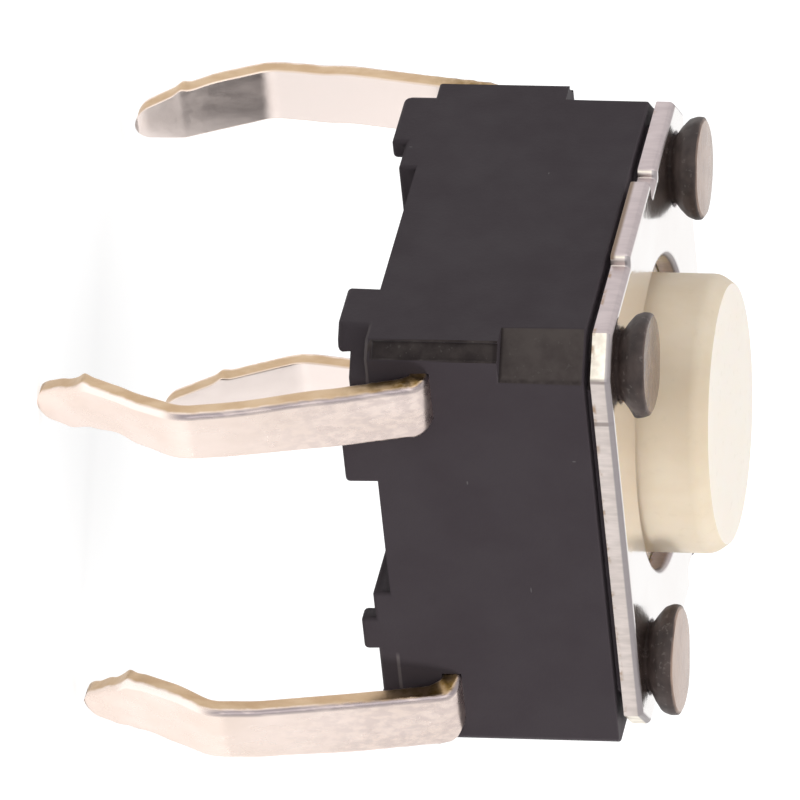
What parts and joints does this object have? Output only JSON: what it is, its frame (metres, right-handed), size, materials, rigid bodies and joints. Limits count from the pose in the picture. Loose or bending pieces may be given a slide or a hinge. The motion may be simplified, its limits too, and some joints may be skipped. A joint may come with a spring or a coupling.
{
  "type": "tactile micro switch",
  "caption": "Square through-hole push switch: round spring-return button over a snap dome, metal cover held by formed posts, kinked snap-in leads.",
  "frame": {"origin": "on the button's axis, in the plane of the circuit board's face that the feet rest on", "axes": "+Z along the button's axis, out of the board towards the button; the leads leave the body on its -X and +X sides, at both -Y and +Y"},
  "size_m": [0.0076, 0.0062, 0.008],
  "materials": {
    "housing": "moulded black-grey thermoplastic, fine matt texture",
    "terminal": "tin-plated brass strip, bare golden cut edges",
    "dome": "thin stainless spring steel",
    "plunger": "slightly translucent ivory moulded plastic",
    "cover": "bright tin-plated sheet steel with sheared edges"
  },
  "bodies": {
    "base": {"housing": "housing", "outer_terminal": "terminal", "centre_terminal": "terminal", "snap_dome": "dome", "cover_plate": "cover"},
    "button": {"plunger": "plunger"}
  },
  "joints": [
    {"name": "button_press", "type": "slide", "parent": "base", "child": "button", "axis": [0, 0, -1], "range_m": [0, 0.00025], "stiffness_N_per_m": 6400, "deforming": ["snap_dome"]}
  ]
}
